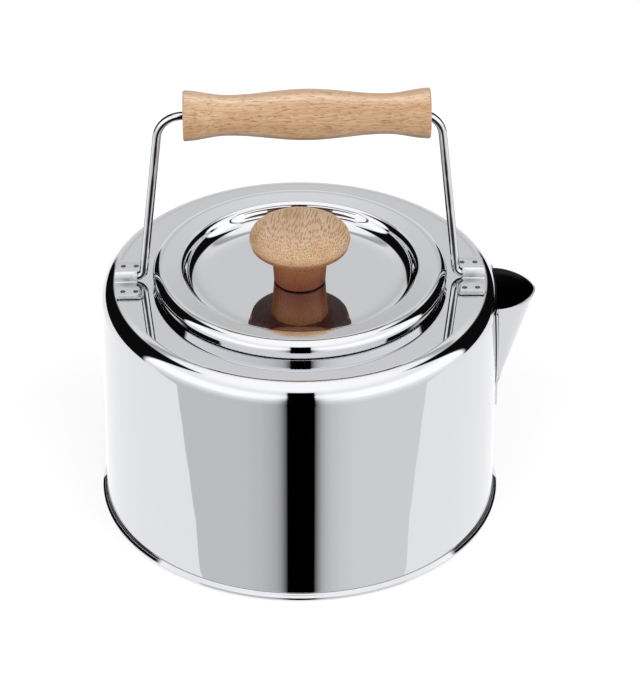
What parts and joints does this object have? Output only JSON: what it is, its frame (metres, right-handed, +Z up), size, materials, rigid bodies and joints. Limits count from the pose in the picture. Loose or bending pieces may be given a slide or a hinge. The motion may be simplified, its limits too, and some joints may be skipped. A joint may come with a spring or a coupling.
{
  "type": "camping kettle",
  "caption": "Polished steel camping kettle with an open wedge spout, a swinging wire bail with a turned wooden grip, and a dished lift-off lid with a mushroom knob.",
  "frame": {"origin": "centre of the underside of the base, on the kettle's axis", "axes": "+Z up along the kettle's axis, +X towards the spout, the bail swings about an axis along X"},
  "size_m": [0.1768, 0.1634, 0.1876],
  "materials": {
    "polished_steel": "mirror-polished stainless steel sheet",
    "bright_wire": "bright drawn stainless steel wire",
    "plain_steel": "plain bright steel fasteners",
    "pale_wood": "turned pale hardwood with a thin satin lacquer",
    "warm_wood": "turned warm brown wood with a thin satin lacquer"
  },
  "bodies": {
    "kettle_body": {"body_shell": "polished_steel", "base_plate": "polished_steel", "spout": "polished_steel", "bracket_left": "polished_steel", "bracket_right": "polished_steel"},
    "bail": {"bail_wire": "bright_wire"},
    "grip_sleeve": {"grip": "pale_wood"},
    "lid_set": {"lid": "polished_steel", "lid_ring": "polished_steel", "knob": "warm_wood", "knob_screw": "plain_steel", "knob_washer": "plain_steel"}
  },
  "joints": [
    {"name": "bail_swing", "type": "hinge", "parent": "kettle_body", "child": "bail", "pos_m": [0, 0, 0.103], "axis": [1, 0, 0], "range_deg": [-83.5, 83.5]},
    {"name": "grip_turn", "type": "hinge", "parent": "bail", "child": "grip_sleeve", "pos_m": [0.0027, 0, 0.1775], "axis": [1, 0, 0], "continuous": true},
    {"name": "lid_lift", "type": "slide", "parent": "kettle_body", "child": "lid_set", "axis": [0, 0, 1], "range_m": [0, 0.0145]}
  ]
}
